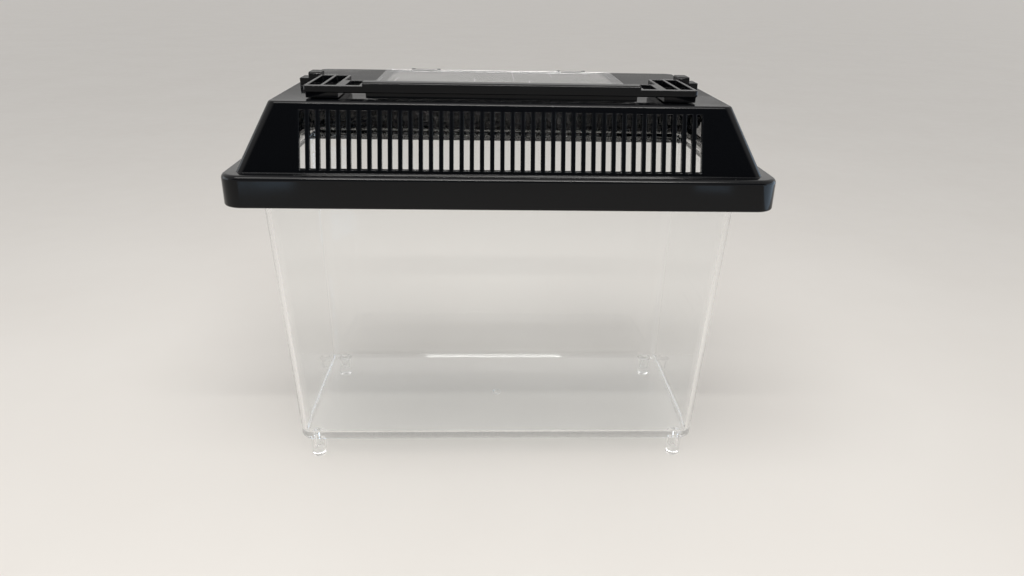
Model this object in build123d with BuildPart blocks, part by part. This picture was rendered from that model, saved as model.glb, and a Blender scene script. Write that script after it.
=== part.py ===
"""Small plastic pet keeper: a clear tapered tank on four feet, a black vented lid,
a clear hatch hinged in the lid and a black carrying handle folded down in front of it.

Millimetres. +X to the right and -Y to the front, where the vent slots are. +Z is up.
The origin is on the ground, under the middle of the lid's rim.
"""
from build123d import *
from math import atan2, degrees
import os

# ---------------------------------------------------------------- tank
foot_height = 8.9
foot_radius = 3.1
foot_taper = 2.0               # degrees of draft on each foot
foot_tip_chamfer = 0.6
foot_inset_x = 6.3             # foot centre in from the side of the base
foot_inset_y = 4.0             # foot centre in from the front of the base
foot_core_radius = 1.25        # moulded hollow that opens at the tank's floor
foot_core_floor = 4.0          # solid plastic left under the hollow

base_width = 157.0
base_depth = 71.6
base_edge_round = 1.6
mouth_width = 163.5
mouth_depth = 87.4
tank_corner = 5.5
tank_height = 108.2            # underside of the floor to the top of the flange
tank_wall = 1.8
tank_floor = 2.8
floor_edge_round = 1.6
flange_thickness = 2.0
flange_edge_chamfer = 0.5
gate_radius = 1.6              # mark of the moulding gate, under the floor
gate_height = 0.6

# ---------------------------------------------------------------- lid
rim_width = 181.0
rim_depth = 112.0
rim_height = 10.5
rim_corner = 7.0
rim_top_round = 1.6
rim_bottom_round = 0.6
ledge_width = 4.5              # flat shelf between the rim's edge and the sloped walls
lid_wall = 1.8                 # rim, shelf, sloped walls and deck
seat_rib = 1.8                 # height of the rib under the sloped walls, down to the seat
seat_rib_wall = 1.4
deck_width = 150.4
deck_depth = 88.2
deck_rise = 21.6               # shelf to deck
deck_edge_round = 1.2
hood_corner = 3.6
lid_seat_clearance = 0.3
lid_side_clearance = 0.4

slot_count = 40
slot_pitch = 3.29
slot_width = 1.86
slot_sill = 1.2                # shelf to the lower end of the slots
slot_head = 2.6                # upper end of the slots to the deck

# ---------------------------------------------------------------- hatch
hatch_width = 91.6
hatch_depth = 59.0
hatch_front = -29.0            # front edge of the hatch, along Y
hatch_thickness = 1.5
hatch_corner = 3.0
hatch_edge_round = 0.4
hatch_clearance = 0.3          # hatch to deck
hatch_lap = 3.8                # how far the hatch laps over the deck
opening_corner = 4.0
plug_clearance = 0.5
plug_wall = 1.2
plug_depth = 1.2
lip_width = 20.0               # finger lip on the hatch's front edge
lip_thickness = 1.4
lip_height = 1.8
lip_round = 0.5

hinge_span = 60.0              # between the middles of the two knuckles
hinge_reach = 2.5              # hatch's back edge to the hinge pin
knuckle_width = 8.0
knuckle_radius = hatch_thickness    # so the knuckles end flush with the hatch's top
hinge_pin_radius = 0.8
hinge_pin_clearance = 0.05
hinge_side_clearance = 0.3
hinge_pin_short = 0.2          # pin end inside the lug's outer face
lug_thickness = 1.6
lug_radius = 1.6

# ---------------------------------------------------------------- handle
handle_width = 129.0
handle_front = -39.0           # front face of the grip when folded, along Y
handle_clearance = 0.3         # underside of the folded handle to the deck
arm_width = 11.0
arm_height = 3.9
pad_width = 18.6
pad_pocket_width = 4.5
pad_depth = 14.5
grip_depth = 5.4
grip_height = 5.2
grip_round = 0.9
step_height = 1.9              # lower part of the handle, set in all round
step_inset = 0.45
grip_width = 91.0              # raised middle of the grip
handle_corner = 1.0
handle_rib = 1.0
handle_front_rib = 2.6         # wall of the pockets along the front
handle_floor = 1.2
notch_height = 1.6             # gap under each pad, from its front to its back
notch_width = 9.0
grip_core_wall = 1.4
grip_core_depth = 3.0

pivot_y = -5.0
pivot_height = 2.0             # pivot axis above the deck
pivot_lead = 6.0               # full width of each arm ends this far in front of its pivot
hub_radius = 1.7
hub_width = 5.0
handle_pin_radius = 1.2
handle_pin_clearance = 0.08
handle_pin_short = 0.3         # pin end inside the bracket's outer face
bracket_gap = 0.5              # handle to bracket, along X
bracket_width = 4.2
bracket_length = 8.0
bracket_wall = 1.6             # plastic over the pin
bracket_round = 1.0
bracket_foot_width = 3.2       # low foot on the bracket's outer side
bracket_foot_height = 2.8

cut_through = 1.0              # how far cuts run past the faces they pierce

# ---------------------------------------------------------------- levels and lines
base_z = foot_height
floor_z = base_z + tank_floor
tank_top = base_z + tank_height
seat_z = tank_top + lid_seat_clearance
shelf_z = seat_z + seat_rib + lid_wall
rim_z = shelf_z - rim_height
deck_z = shelf_z + deck_rise
deck_under = deck_z - lid_wall

hood_width = rim_width - 2 * ledge_width
hood_depth = rim_depth - 2 * ledge_width
rim_inner_width = rim_width - 2 * lid_wall
rim_inner_depth = rim_depth - 2 * lid_wall
rim_inner_corner = rim_corner - lid_wall

hatch_middle = hatch_front + hatch_depth / 2
hatch_back = hatch_front + hatch_depth
hatch_under = deck_z + hatch_clearance
hatch_top = hatch_under + hatch_thickness
opening_width = hatch_width - 2 * hatch_lap
opening_depth = hatch_depth - 2 * hatch_lap
hinge_y = hatch_back + hinge_reach
hinge_z = hatch_top - knuckle_radius

handle_side = handle_width / 2
handle_under = deck_z + handle_clearance
handle_top = handle_under + arm_height
pad_inner = handle_side - pad_width
arm_inner = handle_side - arm_width
pivot_z = deck_z + pivot_height
bracket_inner = handle_side + bracket_gap
bracket_top = pivot_z + handle_pin_radius + handle_pin_clearance + bracket_wall
bracket_foot_middle = bracket_inner + bracket_width + bracket_foot_width / 2
lug_offset = knuckle_width / 2 + hinge_side_clearance + lug_thickness / 2


def slope(spread, rise):
    """Angle in degrees of a wall that moves sideways by spread on both sides over its rise."""
    return degrees(atan2(spread / 2, rise))


def upright(edge):
    """True for an edge that runs up the part rather than round it."""
    return abs(edge.tangent_at(0.5).Z) > 0.5


# ---------------------------------------------------------------- clear tank
foot_span_x = base_width - 2 * foot_inset_x
foot_span_y = base_depth - 2 * foot_inset_y

with BuildPart() as tank:
    # tapered box, wider at the mouth
    with BuildSketch(Plane.XY.offset(base_z)):
        Rectangle(base_width, base_depth)
    extrude(amount=tank_height)
    tank_base = Plane.XY.offset(base_z)
    draft(tank.faces().filter_by(Axis.X), tank_base, -slope(mouth_width - base_width, tank_height))
    draft(tank.faces().filter_by(Axis.Y), tank_base, -slope(mouth_depth - base_depth, tank_height))
    fillet(tank.edges().filter_by(upright), tank_corner)

    # walls, open at the mouth, and a thicker floor
    offset(amount=-tank_wall, openings=tank.faces().sort_by(Axis.Z)[-1], kind=Kind.INTERSECTION)
    with BuildSketch(tank_base):
        RectangleRounded(base_width - tank_wall, base_depth - tank_wall, tank_corner)
    extrude(amount=tank_floor)
    fillet(tank.faces().sort_by(Axis.Z)[0].edges(), base_edge_round)
    fillet(tank.faces().filter_by(Plane.XY).sort_by(Axis.Z)[1].edges(), floor_edge_round)

    # flange that carries the lid
    with BuildSketch(Plane.XY.offset(tank_top)):
        RectangleRounded(
            rim_inner_width - 2 * lid_side_clearance,
            rim_inner_depth - 2 * lid_side_clearance,
            rim_inner_corner - lid_side_clearance,
        )
        RectangleRounded(mouth_width - tank_wall, mouth_depth - tank_wall, tank_corner, mode=Mode.SUBTRACT)
    extrude(amount=-flange_thickness)
    chamfer(tank.faces().sort_by(Axis.Z)[-1].outer_wire().edges(), flange_edge_chamfer)

    # feet
    with BuildSketch(Plane.XY.offset(floor_z)):
        with GridLocations(foot_span_x, foot_span_y, 2, 2):
            Circle(foot_radius)
    extrude(amount=-floor_z, taper=foot_taper)
    chamfer(tank.faces().group_by(Axis.Z)[0].edges(), foot_tip_chamfer)

    # hollow in each foot, open at the floor
    with BuildSketch(Plane.XY.offset(foot_core_floor)):
        with GridLocations(foot_span_x, foot_span_y, 2, 2):
            Circle(foot_core_radius)
    extrude(amount=floor_z + floor_edge_round - foot_core_floor, mode=Mode.SUBTRACT)

    # gate mark under the floor
    with BuildSketch(Plane.XY.offset(base_z)):
        Circle(gate_radius)
    extrude(amount=-gate_height)

tank.part.label = "tank"

# ---------------------------------------------------------------- black lid
slot_low = shelf_z + slot_sill
slot_high = deck_z - slot_head
slot_length = slot_high - slot_low
slot_middle = (slot_low + slot_high) / 2
slot_cut_back = deck_depth / 2 - lid_wall - cut_through

with BuildPart() as lid:
    # rim block with the hood on top of it
    with BuildSketch(Plane.XY.offset(rim_z)):
        Rectangle(rim_width, rim_depth)
    extrude(amount=rim_height)
    fillet(lid.edges().filter_by(Axis.Z), rim_corner)
    with BuildSketch(Plane.XY.offset(shelf_z)):
        Rectangle(hood_width, hood_depth)
    extrude(amount=deck_rise)
    shelf = Plane.XY.offset(shelf_z)
    ends = lid.faces().filter_by(Axis.X).group_by(Axis.Z)[-1]
    draft(ends, shelf, slope(hood_width - deck_width, deck_rise))
    sides = lid.faces().filter_by(Axis.Y).group_by(Axis.Z)[-1]
    draft(sides, shelf, slope(hood_depth - deck_depth, deck_rise))
    fillet(lid.edges().filter_by(upright).group_by(Axis.Z)[-1], hood_corner)

    # one wall thickness all over, open below
    offset(amount=-lid_wall, openings=lid.faces().sort_by(Axis.Z)[0], kind=Kind.INTERSECTION)
    fillet(lid.faces().sort_by(Axis.Z)[-1].edges(), deck_edge_round)
    shelf_face = lid.faces().filter_by(Plane.XY).sort_by(Axis.Z)[2]
    fillet(shelf_face.outer_wire().edges(), rim_top_round)
    fillet(lid.faces().sort_by(Axis.Z)[0].outer_wire().edges(), rim_bottom_round)

    # rib under the sloped walls, which sits on the tank's flange
    with BuildSketch(Plane.XY.offset(seat_z)):
        RectangleRounded(hood_width, hood_depth, hood_corner)
        RectangleRounded(
            hood_width - 2 * seat_rib_wall,
            hood_depth - 2 * seat_rib_wall,
            hood_corner - seat_rib_wall,
            mode=Mode.SUBTRACT,
        )
    extrude(amount=shelf_z - lid_wall - seat_z)

    # opening under the hatch
    with BuildSketch(Plane.XY.offset(deck_z)):
        with Locations((0, hatch_middle)):
            RectangleRounded(opening_width, opening_depth, opening_corner)
    extrude(amount=-(lid_wall + cut_through), mode=Mode.SUBTRACT)

    # vent slots through the front wall
    with BuildSketch(Plane.XZ.offset(slot_cut_back)):
        with Locations((0, slot_middle)):
            with GridLocations(slot_pitch, 0, slot_count, 1):
                Rectangle(slot_width, slot_length)
    extrude(amount=hood_depth / 2 - slot_cut_back, mode=Mode.SUBTRACT)

    # two brackets that hold the handle's pins
    for side in (-1, 1):
        bracket_plane = Plane.YZ.offset(side * (bracket_inner + bracket_width / 2))
        with BuildSketch(bracket_plane):
            with Locations((pivot_y, deck_under)):
                Rectangle(bracket_length, bracket_top - deck_under, align=(Align.CENTER, Align.MIN))
            fillet(vertices().group_by(Axis.Y)[-1], bracket_round)
        extrude(amount=bracket_width / 2, both=True)
        with BuildSketch(bracket_plane):
            with Locations((pivot_y, pivot_z)):
                Circle(handle_pin_radius + handle_pin_clearance)
        extrude(amount=bracket_width / 2, both=True, mode=Mode.SUBTRACT)

        # low foot against the bracket's outer side
        with BuildSketch(Plane.XY.offset(deck_under)):
            with Locations((side * bracket_foot_middle, pivot_y)):
                Rectangle(bracket_foot_width, bracket_length)
        extrude(amount=lid_wall + bracket_foot_height)

    # two lugs each side of both hatch knuckles
    for knuckle_x in (-hinge_span / 2, hinge_span / 2):
        for side in (-1, 1):
            lug_plane = Plane.YZ.offset(knuckle_x + side * lug_offset)
            with BuildSketch(lug_plane):
                with Locations((hinge_y, hinge_z)):
                    Circle(lug_radius)
                with Locations((hinge_y, deck_under)):
                    Rectangle(2 * lug_radius, hinge_z - deck_under, align=(Align.CENTER, Align.MIN))
            extrude(amount=lug_thickness / 2, both=True)
            with BuildSketch(lug_plane):
                with Locations((hinge_y, hinge_z)):
                    Circle(hinge_pin_radius + hinge_pin_clearance)
            extrude(amount=lug_thickness / 2, both=True, mode=Mode.SUBTRACT)

        # slot in the deck that the knuckle's lower half turns in
        with BuildSketch(Plane.XY.offset(deck_z)):
            with Locations((knuckle_x, hinge_y)):
                Rectangle(
                    knuckle_width + 2 * hinge_side_clearance, 2 * (knuckle_radius + hatch_clearance)
                )
        extrude(amount=-(lid_wall + cut_through), mode=Mode.SUBTRACT)

lid.part.label = "lid"

# ---------------------------------------------------------------- clear hatch
plug_width = opening_width - 2 * plug_clearance
plug_length = opening_depth - 2 * plug_clearance
plug_corner = opening_corner - plug_clearance
hinge_pin_reach = knuckle_width / 2 + hinge_side_clearance + lug_thickness - hinge_pin_short

with BuildPart() as hatch:
    with BuildSketch(Plane.XY.offset(hatch_under)):
        with Locations((0, hatch_middle)):
            RectangleRounded(hatch_width, hatch_depth, hatch_corner)
    extrude(amount=hatch_thickness)
    fillet(hatch.faces().sort_by(Axis.Z)[-1].edges(), hatch_edge_round)

    # shallow wall that drops into the opening
    with BuildSketch(Plane.XY.offset(hatch_under)):
        with Locations((0, hatch_middle)):
            RectangleRounded(plug_width, plug_length, plug_corner)
            RectangleRounded(
                plug_width - 2 * plug_wall,
                plug_length - 2 * plug_wall,
                plug_corner - plug_wall,
                mode=Mode.SUBTRACT,
            )
    extrude(amount=-(hatch_clearance + plug_depth))

    # finger lip on the front edge
    with BuildSketch(Plane.XY.offset(hatch_top - hatch_edge_round)):
        with Locations((0, hatch_front)):
            Rectangle(lip_width, lip_thickness, align=(Align.CENTER, Align.MIN))
    extrude(amount=lip_height + hatch_edge_round)
    fillet(hatch.faces().sort_by(Axis.Z)[-1].edges(), lip_round)

    # knuckles with a pin out of each end
    for knuckle_x in (-hinge_span / 2, hinge_span / 2):
        with BuildSketch(Plane.YZ.offset(knuckle_x)):
            with Locations((hinge_y, hinge_z)):
                Circle(knuckle_radius)
            with Locations((hinge_y, hatch_under)):
                Rectangle(
                    hinge_reach + hatch_edge_round, hatch_thickness, align=(Align.MAX, Align.MIN)
                )
        extrude(amount=knuckle_width / 2, both=True)
        with BuildSketch(Plane.YZ.offset(knuckle_x)):
            with Locations((hinge_y, hinge_z)):
                Circle(hinge_pin_radius)
        extrude(amount=hinge_pin_reach, both=True)

hatch.part.label = "hatch"

# ---------------------------------------------------------------- black handle
step_z = handle_under + step_height
pocket_width = (arm_width - 3 * handle_rib) / 2
pad_pocket_middle = pad_inner + handle_rib + pad_pocket_width / 2
arm_back = pivot_y - pivot_lead
handle_pin_reach = bracket_gap + bracket_width - handle_pin_short

with BuildSketch() as handle_plan:
    with Locations((0, handle_front)):
        Rectangle(handle_width, grip_depth, align=(Align.CENTER, Align.MIN))
    for side in (-1, 1):
        with Locations((side * (handle_side - pad_width / 2), handle_front)):
            Rectangle(pad_width, pad_depth, align=(Align.CENTER, Align.MIN))
        with Locations((side * (handle_side - arm_width / 2), handle_front)):
            Rectangle(arm_width, arm_back - handle_front, align=(Align.CENTER, Align.MIN))
    fillet(handle_plan.vertices().group_by(Axis.Y)[0], handle_corner)

with BuildPart() as handle:
    # set-in lower part and full upper part
    with BuildSketch(Plane.XY.offset(handle_under)):
        add(handle_plan.sketch)
        offset(amount=-step_inset)
    extrude(amount=step_height)
    with BuildSketch(Plane.XY.offset(step_z)):
        add(handle_plan.sketch)
    extrude(amount=handle_top - step_z)

    # raised middle of the grip, rounded along its top edges
    with BuildSketch(Plane.XY.offset(step_z)):
        with Locations((0, handle_front)):
            Rectangle(grip_width, grip_depth, align=(Align.CENTER, Align.MIN))
    extrude(amount=handle_under + grip_height - step_z)
    fillet(handle.edges().filter_by(Axis.X).group_by(Axis.Z)[-1], grip_round)

    # channel along the underside of the grip
    with BuildSketch(Plane.XY.offset(handle_under)):
        with Locations((0, handle_front + grip_depth / 2)):
            Rectangle(
                grip_width - notch_width, grip_depth - 2 * (step_inset + grip_core_wall)
            )
    extrude(amount=grip_core_depth, mode=Mode.SUBTRACT)

    for side in (-1, 1):
        # two blind pockets in each arm
        with BuildSketch(Plane.XY.offset(handle_under + handle_floor)):
            for column in (0, 1):
                from_side = handle_rib + pocket_width / 2 + column * (pocket_width + handle_rib)
                with Locations((side * (handle_side - from_side), handle_front + handle_front_rib)):
                    Rectangle(
                        pocket_width,
                        arm_back - handle_front - handle_front_rib - handle_rib,
                        align=(Align.CENTER, Align.MIN),
                    )
        extrude(amount=arm_height, mode=Mode.SUBTRACT)

        # open pocket in each pad
        with BuildSketch(Plane.XY.offset(handle_under)):
            with Locations((side * pad_pocket_middle, handle_front + handle_front_rib)):
                Rectangle(
                    pad_pocket_width,
                    pad_depth - handle_front_rib - handle_rib,
                    align=(Align.CENTER, Align.MIN),
                )
        extrude(amount=arm_height, mode=Mode.SUBTRACT)

        # notch under the pad
        with BuildSketch(Plane.XY.offset(handle_under)):
            with Locations((side * (arm_inner - notch_width / 2), handle_front)):
                Rectangle(notch_width, pad_depth, align=(Align.CENTER, Align.MIN))
        extrude(amount=notch_height, mode=Mode.SUBTRACT)

        # hub on a link from the back of the arm, and the pin that turns in the bracket
        with BuildSketch(Plane.YZ.offset(side * handle_side)):
            with Locations((pivot_y, pivot_z)):
                Circle(hub_radius)
                Rectangle(
                    pivot_lead + handle_rib, 2 * hub_radius, align=(Align.MAX, Align.CENTER)
                )
        extrude(amount=-side * hub_width)
        with BuildSketch(Plane.YZ.offset(side * handle_side)):
            with Locations((pivot_y, pivot_z)):
                Circle(handle_pin_radius)
        extrude(amount=side * handle_pin_reach)

handle.part.label = "handle"

# ---------------------------------------------------------------- export
os.makedirs("parts", exist_ok=True)
for piece in (tank, lid, hatch, handle):
    export_step(piece.part, f"parts/{piece.part.label}.step")
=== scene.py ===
"""Looks of a small plastic pet keeper: clear tapered tank, black vented lid, clear hatch and
black carrying handle, on a plain pale floor in soft studio light.

Metres, in the part's own frame: +X right, -Y front, +Z up, origin on the ground.
"""
from math import cos, radians, sin

import bmesh
import bpy
import numpy as np
from mathutils import Matrix, Vector


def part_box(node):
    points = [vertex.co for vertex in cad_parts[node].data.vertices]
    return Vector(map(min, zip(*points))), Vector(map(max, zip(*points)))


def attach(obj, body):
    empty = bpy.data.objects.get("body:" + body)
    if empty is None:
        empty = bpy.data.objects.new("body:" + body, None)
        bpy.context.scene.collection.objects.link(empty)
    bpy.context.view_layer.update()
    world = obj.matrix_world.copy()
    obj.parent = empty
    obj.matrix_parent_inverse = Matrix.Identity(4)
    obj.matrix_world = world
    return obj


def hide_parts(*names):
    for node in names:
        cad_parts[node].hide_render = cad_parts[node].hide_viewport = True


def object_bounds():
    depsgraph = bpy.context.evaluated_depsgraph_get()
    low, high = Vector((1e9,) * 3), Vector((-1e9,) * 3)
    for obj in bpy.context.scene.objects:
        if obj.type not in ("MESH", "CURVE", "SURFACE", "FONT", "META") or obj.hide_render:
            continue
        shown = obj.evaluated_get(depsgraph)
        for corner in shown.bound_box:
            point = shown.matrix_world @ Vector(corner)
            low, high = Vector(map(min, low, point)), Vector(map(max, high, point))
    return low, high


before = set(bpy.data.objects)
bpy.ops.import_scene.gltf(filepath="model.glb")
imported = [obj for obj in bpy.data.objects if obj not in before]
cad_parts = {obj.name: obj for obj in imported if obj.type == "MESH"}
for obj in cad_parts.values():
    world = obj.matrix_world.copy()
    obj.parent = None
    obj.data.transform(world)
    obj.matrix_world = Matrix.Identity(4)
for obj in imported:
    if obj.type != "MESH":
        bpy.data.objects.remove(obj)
cad_low, cad_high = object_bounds()
rim_front = cad_low.y
rim_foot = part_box("lid")[0].z
handle_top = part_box("handle")[1].z

MM = 0.001

# ---------------------------------------------------------------- mouldings
MERGE_DISTANCE = 0.002 * MM
FLAT_ANGLE = radians(0.2)       # neighbours nearer to one plane than this are one face
SHARP_ANGLE = radians(30)       # edges sharper than this are rounded by the mould
ROUND_SEGMENTS = 2
EDGE_ROUND = 0.18 * MM
HATCH_EDGE_ROUND = 0.08 * MM    # finer, for the hatch's thin lip and pins

# ---------------------------------------------------------------- surfaces
# textures, in lumps a metre
SINK_WAVES = 38.0
MOULD_GRAIN = 2600.0
SMUDGE_PATCHES = 32.0
SMUDGE_STREAKS = 420.0
DUST_CELLS = 620.0
RUBBED_SPOTS = 160.0
FLOOR_PATCHES = 9.0
FLOOR_GRAIN = 60.0

# two sets of scratches: turn about X, Y and Z, lumps a metre along each, and the level of the
# noise at which a scratch begins
SCRATCH_SETS = (
    ((0.3, 0.5, 0.7), (14.0, 1900.0, 1900.0), 0.735),
    ((1.2, -0.4, 2.1), (1700.0, 18.0, 1700.0), 0.74),
)
SCRATCH_EDGE = 0.025            # how much further up the noise a scratch is at its full depth

# soft edges of the other marks: the value at which each begins, and the one at which it is full
SMUDGE_EDGE = (0.50, 0.72)
STREAK_EDGE = (0.35, 0.65)
STREAK_FAINTEST = 0.35          # what is left of a smudge between its streaks
SPECK_EDGE = (0.16, 0.05)       # distance from the middle of a cell, in cells
DUSTY_CELLS = (0.93, 0.96)      # random number of a cell
DUSTY_SLOPE = (0.5, 0.95)       # Z part of the surface's normal
RUBBED_EDGE = (0.995, 0.90)     # cosine of the angle from the flat normal to the rounded one
RUBBED_GAPS = (0.42, 0.66)      # noise that breaks the rubbed edges up
FLOOR_EDGE = (0.3, 0.7)         # noise of the floor's patches and grain

BUMP_DEPTH = 0.05 * MM
RUBBED_REACH = 0.5 * MM         # how far from an edge rubbing shows
SCUFF_REACH = 2.1 * MM          # how far below the handle's top scuffing begins
SCUFF_FADE = 1.5 * MM           # height over which it grows to its full share

# ---------------------------------------------------------------- black plastic
BLACK = (0.0020, 0.0023, 0.0030)
RUBBED_BLACK = (0.016, 0.018, 0.021)
DUST_GREY = (0.10, 0.098, 0.092)
BLACK_IOR = 1.5
BLACK_SPECULAR = 0.25           # half the gloss that the index alone would give
BLACK_SCRATCH = 0.12            # depth of a scratch, as a share of BUMP_DEPTH
BLACK_SMUDGED = 0.16            # roughness that a smudge, rubbing and dust each add
BLACK_RUBBED = 0.14
BLACK_DUSTY = 0.4

# ---------------------------------------------------------------- clear plastic
CLEAR = (0.985, 0.99, 0.99)
CLEAR_IOR = 1.59                # polystyrene
CLEAR_SCRATCH = 0.05            # depth of a scratch, as a share of BUMP_DEPTH
CLEAR_SMUDGED = 0.05            # roughness that a smudge, a scratch and dust each add
CLEAR_SCRATCHED = 0.18
CLEAR_DUSTY = 0.5
PASSED_LIGHT = (0.97, 0.973, 0.973)
WALL_TINT = (0.84, 0.89, 0.90)
WALL_TINT_DENSITY = 3.0
TRAPPED_BOUNCES = 1.5           # light that bounces more often than this leaves a clear wall

# ---------------------------------------------------------------- camera
CAMERA_PLACE = (-5.79 * MM, -287.77 * MM, 180.92 * MM)
CAMERA_PITCH = radians(22.801)  # below the horizon
CAMERA_YAW = radians(2.336)
CAMERA_ROLL = radians(1.134)
CAMERA_LENS = 26.19             # millimetres on a sensor 36 mm wide
SENSOR_WIDTH = 36.0

# ---------------------------------------------------------------- studio
FLOOR_RADIUS = 60.0
FLOOR_DARKER = (0.70, 0.675, 0.645)
FLOOR_LIGHTER = (0.72, 0.697, 0.668)
FLOOR_SMOOTHEST = 0.42
FLOOR_ROUGHEST = 0.5

SKY = (1.0, 0.985, 0.965)
WALL_LEVEL = 0.75

# the dark room beyond the open front and the shaded seam low on the back wall: the level of
# each, and its soft edges, as the part of a direction at which it begins and is full
ROOM_LEVEL = 0.05
ROOM_FRONT = (-0.45, -0.75)
ROOM_FOOT = (0.17, 0.26)
ROOM_HEAD = (0.70, 0.50)
SEAM_LEVEL = 0.28
SEAM_BACK = (0.80, 0.92)
SEAM_FOOT = (0.075, 0.10)
SEAM_HEAD = (0.165, 0.14)

WHITE = (1.0, 0.98, 0.95)
COOL = (0.80, 0.91, 1.0)
BLUE = (0.50, 0.74, 1.0)


# ================================================================ meshes
def joined_copy(node, name):
    """A CAD node's loose triangles as one closed mesh, with its flat faces made whole."""
    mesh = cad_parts[node].data.copy()
    mesh.name = name
    work = bmesh.new()
    work.from_mesh(mesh)
    bmesh.ops.remove_doubles(work, verts=work.verts, dist=MERGE_DISTANCE)
    bmesh.ops.dissolve_limit(work, angle_limit=FLAT_ANGLE, verts=work.verts, edges=work.edges)
    bmesh.ops.triangulate(work, faces=work.faces)
    work.to_mesh(mesh)
    work.free()
    mesh.shade_smooth()
    return mesh


def moulding(node, name, material, edge_round=EDGE_ROUND):
    """A node's shape with every sharp edge rounded by edge_round, as it leaves a real mould.

    It stands for the node and rides on the body of the same name.
    """
    piece = bpy.data.objects.new(name, joined_copy(node, name))
    bpy.context.scene.collection.objects.link(piece)

    rounding = piece.modifiers.new("mould_round", "BEVEL")
    rounding.width = edge_round
    rounding.segments = ROUND_SEGMENTS
    rounding.limit_method = "ANGLE"
    rounding.angle_limit = SHARP_ANGLE
    rounding.use_clamp_overlap = False
    rounding.loop_slide = False
    flat_faces = piece.modifiers.new("flat_faces", "WEIGHTED_NORMAL")
    flat_faces.weight = 100

    graph = bpy.context.evaluated_depsgraph_get()
    rounded = bpy.data.meshes.new_from_object(piece.evaluated_get(graph), depsgraph=graph)
    piece.modifiers.clear()
    piece.data = rounded
    rounded.name = name
    rounded.materials.clear()
    rounded.materials.append(material)
    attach(piece, node)
    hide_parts(node)
    return piece


# ================================================================ node trees
def add(tree, kind, inputs=None, **settings):
    """A new shader node with its settings and its inputs' values, by name or by place.

    A colour is given by its three parts.
    """
    node = tree.nodes.new(kind)
    for name, value in settings.items():
        setattr(node, name, value)
    for name, value in (inputs or {}).items():
        if isinstance(value, bpy.types.NodeSocket):
            tree.links.new(value, node.inputs[name])
        elif node.inputs[name].type == "RGBA":
            node.inputs[name].default_value = (*value, 1.0)
        else:
            node.inputs[name].default_value = value
    return node


def group(name, inputs, outputs):
    """An empty shader node group with float sockets, and its two end nodes' sockets."""
    tree = bpy.data.node_groups.new(name, "ShaderNodeTree")
    for socket_name, value in inputs.items():
        socket = tree.interface.new_socket(socket_name, in_out="INPUT", socket_type="NodeSocketFloat")
        socket.default_value = value
    for socket_name in outputs:
        tree.interface.new_socket(socket_name, in_out="OUTPUT", socket_type="NodeSocketFloat")
    start = tree.nodes.new("NodeGroupInput")
    end = tree.nodes.new("NodeGroupOutput")
    return tree, start.outputs, end.inputs


def use(tree, shared, **inputs):
    """A shared group placed in a material, as its outputs."""
    return add(tree, "ShaderNodeGroup", inputs, node_tree=shared).outputs


def compute(tree, operation, *values):
    """The result of one math node."""
    return add(tree, "ShaderNodeMath", dict(enumerate(values)), operation=operation).outputs[0]


def product(tree, first, *others):
    """All the values multiplied together."""
    result = first
    for other in others:
        result = compute(tree, "MULTIPLY", result, other)
    return result


def between(tree, value, low, high, to_low=0.0, to_high=1.0):
    """value moved from the range low..high to to_low..to_high, and held inside it."""
    inputs = {
        "Value": value,
        "From Min": low,
        "From Max": high,
        "To Min": to_low,
        "To Max": to_high,
    }
    return add(tree, "ShaderNodeMapRange", inputs).outputs["Result"]


def noise(tree, place, scale, detail=2.0, roughness=0.5):
    """Noise of that many lumps a metre."""
    inputs = {"Vector": place, "Scale": scale, "Detail": detail, "Roughness": roughness}
    return add(tree, "ShaderNodeTexNoise", inputs).outputs["Fac"]


def object_place(tree):
    """The place of each point in its object's own coordinates."""
    return tree.nodes.new("ShaderNodeTexCoord").outputs["Object"]


def parts_of(tree, vector):
    """The X, Y and Z parts of a vector."""
    return add(tree, "ShaderNodeSeparateXYZ", {"Vector": vector}).outputs


def bumped(tree, height, strength):
    """The surface's normal, tilted by a height given in shares of BUMP_DEPTH."""
    inputs = {"Height": height, "Strength": strength, "Distance": BUMP_DEPTH}
    return add(tree, "ShaderNodeBump", inputs).outputs["Normal"]


def mixed_colour(tree, share, first, second):
    """A colour that goes from first to second as share goes from 0 to 1."""
    # a Mix node's sockets 6 and 7 are its two colours, and its output 2 is their mix
    node = add(tree, "ShaderNodeMix", {"Factor": share}, data_type="RGBA")
    for socket, colour in ((node.inputs[6], first), (node.inputs[7], second)):
        if isinstance(colour, bpy.types.NodeSocket):
            tree.links.new(colour, socket)
        else:
            socket.default_value = (*colour, 1.0)
    return node.outputs[2]


# ================================================================ shared effects
def moulded_skin_group():
    """Height of a moulded surface: slow sink waves and a very fine grain."""
    tree, given, result = group("moulded_skin", {"Waves": 1.0, "Grain": 0.2}, ["Height"])
    place = object_place(tree)
    waves = product(tree, noise(tree, place, SINK_WAVES, detail=1.5), given["Waves"])
    grain = product(tree, noise(tree, place, MOULD_GRAIN), given["Grain"])
    tree.links.new(compute(tree, "ADD", waves, grain), result["Height"])
    return tree


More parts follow.
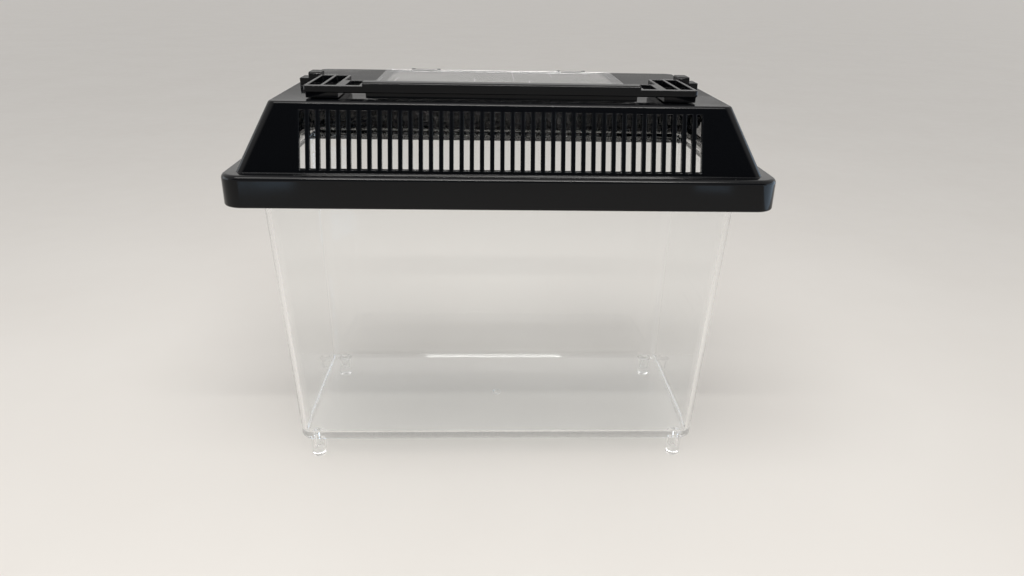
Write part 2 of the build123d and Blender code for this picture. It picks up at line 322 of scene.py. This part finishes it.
def handling_group():
    """Masks of what handling leaves: greasy smudges, hairline scratches and settled dust."""
    amounts = {"Smudges": 1.0, "Scratches": 1.0, "Dust": 1.0}
    tree, given, result = group("handling_marks", amounts, ["Smudge", "Scratch", "Dust"])
    coordinates = tree.nodes.new("ShaderNodeTexCoord").outputs
    place = coordinates["Object"]

    # patches with finer streaks in them
    patches = between(tree, noise(tree, place, SMUDGE_PATCHES, detail=3.0), *SMUDGE_EDGE)
    fine = noise(tree, place, SMUDGE_STREAKS, detail=3.0, roughness=0.6)
    streaks = between(tree, fine, *STREAK_EDGE, to_low=STREAK_FAINTEST)
    tree.links.new(product(tree, patches, streaks, given["Smudges"]), result["Smudge"])

    # the crests of noise that is drawn out into lines
    lines = []
    for turn, scale, level in SCRATCH_SETS:
        inputs = {"Vector": place, "Rotation": turn, "Scale": scale}
        drawn_out = add(tree, "ShaderNodeMapping", inputs).outputs["Vector"]
        crests = noise(tree, drawn_out, scale=1.0, detail=1.0)
        lines.append(between(tree, crests, level, level + SCRATCH_EDGE))
    scratch = product(tree, compute(tree, "MAXIMUM", *lines), given["Scratches"])
    tree.links.new(scratch, result["Scratch"])

    # a speck in the middle of a few cells, where the surface faces up
    cells = add(tree, "ShaderNodeTexVoronoi", {"Vector": place, "Scale": DUST_CELLS}).outputs
    speck = between(tree, cells["Distance"], *SPECK_EDGE)
    pick = add(tree, "ShaderNodeSeparateColor", {"Color": cells["Color"]}).outputs["Red"]
    chosen = between(tree, pick, *DUSTY_CELLS)
    lying = between(tree, parts_of(tree, coordinates["Normal"])["Z"], *DUSTY_SLOPE)
    tree.links.new(product(tree, speck, chosen, lying, given["Dust"]), result["Dust"])
    return tree


def rubbed_edge_group():
    """Mask of edges that hands and other things have rubbed, broken up by noise."""
    tree, given, result = group("rubbed_edge", {"Amount": 1.0}, ["Mask"])
    flat = tree.nodes.new("ShaderNodeNewGeometry").outputs["Normal"]
    soft = add(tree, "ShaderNodeBevel", {"Radius": RUBBED_REACH}, samples=4).outputs["Normal"]
    same = add(tree, "ShaderNodeVectorMath", {0: flat, 1: soft}, operation="DOT_PRODUCT")
    edge = between(tree, same.outputs["Value"], *RUBBED_EDGE)
    spots = noise(tree, object_place(tree), RUBBED_SPOTS, detail=4.0, roughness=0.65)
    broken = between(tree, spots, *RUBBED_GAPS)
    tree.links.new(product(tree, edge, broken, given["Amount"]), result["Mask"])
    return tree


skin_group = moulded_skin_group()
marks_group = handling_group()
edge_group = rubbed_edge_group()


# ================================================================ materials
def blank(name):
    """A new material, its empty node tree and its output's inputs."""
    material = bpy.data.materials.new(name)
    material.use_nodes = True
    tree = material.node_tree
    tree.nodes.clear()
    return material, tree, tree.nodes.new("ShaderNodeOutputMaterial").inputs


def roughened(tree, rough, *marks):
    """The roughness rough, with each mark's own share added where its mask is white."""
    for mask, added in marks:
        rough = compute(tree, "MULTIPLY_ADD", mask, added, rough)
    return rough


def black_plastic(name, polish, grain, scuff=0.0):
    """Glossy black moulded plastic. polish is its roughness where nothing has touched it.

    Near the handle's top, which is touched most, it is rougher by scuff.
    """
    material, tree, output = blank(name)
    skin = use(tree, skin_group, Waves=1.0, Grain=grain)
    marks = use(tree, marks_group, Smudges=1.0, Scratches=0.7, Dust=1.0)
    rubbed = use(tree, edge_group, Amount=0.8)["Mask"]

    worn = mixed_colour(tree, rubbed, BLACK, RUBBED_BLACK)
    dusty = mixed_colour(tree, marks["Dust"], worn, DUST_GREY)
    rough = polish
    if scuff:
        scuff_foot = handle_top - SCUFF_REACH
        level = parts_of(tree, object_place(tree))["Z"]
        rough = between(tree, level, scuff_foot, scuff_foot + SCUFF_FADE, polish, polish + scuff)
    rough = roughened(
        tree,
        rough,
        (marks["Smudge"], BLACK_SMUDGED),
        (rubbed, BLACK_RUBBED),
        (marks["Dust"], BLACK_DUSTY),
    )
    height = compute(tree, "MULTIPLY_ADD", marks["Scratch"], -BLACK_SCRATCH, skin["Height"])
    inputs = {
        "Base Color": dusty,
        "Roughness": rough,
        "Normal": bumped(tree, height, strength=0.5),
        "IOR": BLACK_IOR,
        "Specular IOR Level": BLACK_SPECULAR,
    }
    shader = add(tree, "ShaderNodeBsdfPrincipled", inputs)
    tree.links.new(shader.outputs["BSDF"], output["Surface"])
    return material


def clear_plastic(name, haze, waves):
    """Clear moulded polystyrene. haze is its roughness where nothing has touched it.

    Lamp and bounced light pass it as if it were tinted air, so that what it covers stays lit,
    and light that has bounced about inside a wall leaves it the same way.
    """
    material, tree, output = blank(name)
    skin = use(tree, skin_group, Waves=waves, Grain=0.0)
    marks = use(tree, marks_group, Smudges=1.0, Scratches=1.0, Dust=0.6)
    rough = roughened(
        tree,
        haze,
        (marks["Smudge"], CLEAR_SMUDGED),
        (marks["Scratch"], CLEAR_SCRATCHED),
        (marks["Dust"], CLEAR_DUSTY),
    )
    height = compute(tree, "MULTIPLY_ADD", marks["Scratch"], -CLEAR_SCRATCH, skin["Height"])
    inputs = {
        "Base Color": CLEAR,
        "Roughness": rough,
        "Normal": bumped(tree, height, strength=0.4),
        "IOR": CLEAR_IOR,
        "Transmission Weight": 1.0,
    }
    shader = add(tree, "ShaderNodeBsdfPrincipled", inputs)

    through = add(tree, "ShaderNodeBsdfTransparent", {"Color": PASSED_LIGHT})
    path = tree.nodes.new("ShaderNodeLightPath").outputs
    lighting = compute(tree, "MAXIMUM", path["Is Shadow Ray"], path["Is Diffuse Ray"])
    trapped = compute(tree, "GREATER_THAN", path["Glossy Depth"], TRAPPED_BOUNCES)
    passing = compute(tree, "MAXIMUM", lighting, trapped)
    inputs = {0: passing, 1: shader.outputs["BSDF"], 2: through.outputs["BSDF"]}
    surface = add(tree, "ShaderNodeMixShader", inputs)
    inputs = {"Color": WALL_TINT, "Density": WALL_TINT_DENSITY}
    tint = add(tree, "ShaderNodeVolumeAbsorption", inputs)
    tree.links.new(surface.outputs["Shader"], output["Surface"])
    tree.links.new(tint.outputs["Volume"], output["Volume"])
    return material


def floor_paint():
    """Plain pale matt floor with a barely seen mottle."""
    material, tree, output = blank("pale_floor")
    place = object_place(tree)
    mottle = between(tree, noise(tree, place, FLOOR_PATCHES, detail=3.0), *FLOOR_EDGE)
    colour = mixed_colour(tree, mottle, FLOOR_DARKER, FLOOR_LIGHTER)
    grain = noise(tree, place, FLOOR_GRAIN)
    rough = between(tree, grain, *FLOOR_EDGE, FLOOR_SMOOTHEST, FLOOR_ROUGHEST)
    shader = add(tree, "ShaderNodeBsdfPrincipled", {"Base Color": colour, "Roughness": rough})
    tree.links.new(shader.outputs["BSDF"], output["Surface"])
    return material


# ================================================================ the object
tank_clear = clear_plastic("tank_clear", haze=0.012, waves=0.8)
hatch_clear = clear_plastic("hatch_clear", haze=0.12, waves=1.0)
lid_black = black_plastic("lid_black", polish=0.06, grain=0.06)
handle_black = black_plastic("handle_black", polish=0.12, grain=0.15, scuff=0.06)

tank = moulding("tank", "tank_shell", tank_clear)
lid = moulding("lid", "lid_moulding", lid_black)
hatch = moulding("hatch", "hatch_flap", hatch_clear, HATCH_EDGE_ROUND)
handle = moulding("handle", "handle_bar", handle_black)

# the pieces that the coloured lamps light, while the floor stays plain
keeper = bpy.data.collections.new("keeper")
for piece in (tank, lid, hatch, handle):
    keeper.objects.link(piece)


# ================================================================ studio
def disc(name, radius, sides=96):
    """A flat disc at ground level: its points are radius times the cosine and sine of the turn."""
    turn = np.linspace(0.0, 2.0 * np.pi, sides, endpoint=False)
    points = np.stack([radius * np.cos(turn), radius * np.sin(turn), np.zeros(sides)], axis=1)
    mesh = bpy.data.meshes.new(name)
    mesh.from_pydata(points.tolist(), [], [list(range(sides))])
    made = bpy.data.objects.new(name, mesh)
    bpy.context.scene.collection.objects.link(made)
    return made


def sky():
    """Soft light from all round: pale walls and roof, and a dark room beyond the open front.

    The sloped black walls mirror the dark room, and the lid's deck mirrors a shaded seam low on
    the back wall, so both stay dark. The camera itself sees neither, only the pale wall.
    """
    world = bpy.data.worlds.new("studio")
    bpy.context.scene.world = world
    world.use_nodes = True
    tree = world.node_tree
    tree.nodes.clear()
    output = tree.nodes.new("ShaderNodeOutputWorld")
    way = parts_of(tree, tree.nodes.new("ShaderNodeTexCoord").outputs["Generated"])

    level = WALL_LEVEL
    for own_level, side, foot, head in (
        (ROOM_LEVEL, ROOM_FRONT, ROOM_FOOT, ROOM_HEAD),
        (SEAM_LEVEL, SEAM_BACK, SEAM_FOOT, SEAM_HEAD),
    ):
        share = product(
            tree,
            between(tree, way["Y"], *side),
            between(tree, way["Z"], *foot),
            between(tree, way["Z"], *head),
        )
        level = compute(tree, "MULTIPLY_ADD", share, own_level - WALL_LEVEL, level)
    seen = tree.nodes.new("ShaderNodeLightPath").outputs["Is Camera Ray"]
    level = between(tree, seen, 0.0, 1.0, level, WALL_LEVEL)
    light = add(tree, "ShaderNodeBackground", {"Color": SKY, "Strength": level})
    tree.links.new(light.outputs["Background"], output.inputs["Surface"])


def lamp(name, place, aim, size, watts, colour, onto=None, through_walls=False):
    """A rectangular soft lamp at place that faces aim, seen through clear walls or not.

    It lights everything, or only the pieces in the collection onto.
    """
    data = bpy.data.lights.new(name, "AREA")
    data.shape = "RECTANGLE"
    data.size, data.size_y = size
    data.energy = watts
    data.color = colour
    made = bpy.data.objects.new(name, data)
    made.location = place
    direction = Vector(aim) - Vector(place)
    made.rotation_euler = direction.to_track_quat("-Z", "Y").to_euler()
    made.visible_camera = False
    made.visible_transmission = through_walls
    made.light_linking.receiver_collection = onto
    bpy.context.scene.collection.objects.link(made)
    return made


floor = disc("floor", FLOOR_RADIUS)
floor.data.materials.append(floor_paint())
sky()

# a thin bar above the front and a wide soft lamp above that
lamp(
    "lamp_bar",
    place=(0.0, -0.235, 0.396),
    aim=(0.0, 0.02, 0.06),
    size=(0.28, 0.012),
    watts=0.5,
    colour=WHITE,
    through_walls=True,
)
lamp(
    "key",
    place=(-0.05, -0.22, 0.62),
    aim=(0.0, 0.0, 0.06),
    size=(0.60, 0.20),
    watts=1.8,
    colour=WHITE,
)

# soft lamps at both sides, level with the lid
lamp(
    "side_left",
    place=(-0.80, 0.0, 0.22),
    aim=(0.0, 0.0, 0.12),
    size=(0.60, 0.34),
    watts=0.8,
    colour=COOL,
    onto=keeper,
)
lamp(
    "side_right",
    place=(0.80, -0.05, 0.22),
    aim=(0.0, 0.0, 0.12),
    size=(1.10, 0.34),
    watts=1.5,
    colour=BLUE,
    onto=keeper,
)
lamp(
    "low_right",
    place=(0.45, -0.08, 0.055),
    aim=(0.08, 0.0, 0.09),
    size=(0.80, 0.09),
    watts=0.36,
    colour=BLUE,
    onto=keeper,
)

# small low lamps that glint along the rounded foot of the lid's rim
lamp(
    "glint_left",
    place=(-0.20, -0.47, 0.012),
    aim=(-0.08, rim_front, rim_foot),
    size=(0.05, 0.014),
    watts=0.003,
    colour=BLUE,
    onto=keeper,
)
lamp(
    "glint_right",
    place=(0.20, -0.47, 0.012),
    aim=(0.08, rim_front, rim_foot),
    size=(0.03, 0.014),
    watts=0.0012,
    colour=BLUE,
    onto=keeper,
)


def place_camera():
    """The camera at the photograph's place, turned by yaw, then pitch, then roll."""
    data = bpy.data.cameras.new("camera")
    data.sensor_width = SENSOR_WIDTH
    data.lens = CAMERA_LENS
    data.clip_start = 0.01
    camera = bpy.data.objects.new("camera", data)
    forward = Vector((
        sin(CAMERA_YAW) * cos(CAMERA_PITCH),
        cos(CAMERA_YAW) * cos(CAMERA_PITCH),
        -sin(CAMERA_PITCH),
    ))
    level = Vector((cos(CAMERA_YAW), -sin(CAMERA_YAW), 0.0))
    upward = level.cross(forward)
    right = level * cos(CAMERA_ROLL) + upward * sin(CAMERA_ROLL)
    top = upward * cos(CAMERA_ROLL) - level * sin(CAMERA_ROLL)
    turn = Matrix((right, top, -forward)).transposed()
    camera.matrix_world = Matrix.Translation(CAMERA_PLACE) @ turn.to_4x4()
    bpy.context.scene.collection.objects.link(camera)
    bpy.context.scene.camera = camera


place_camera()
bpy.context.scene.view_settings.view_transform = "Standard"
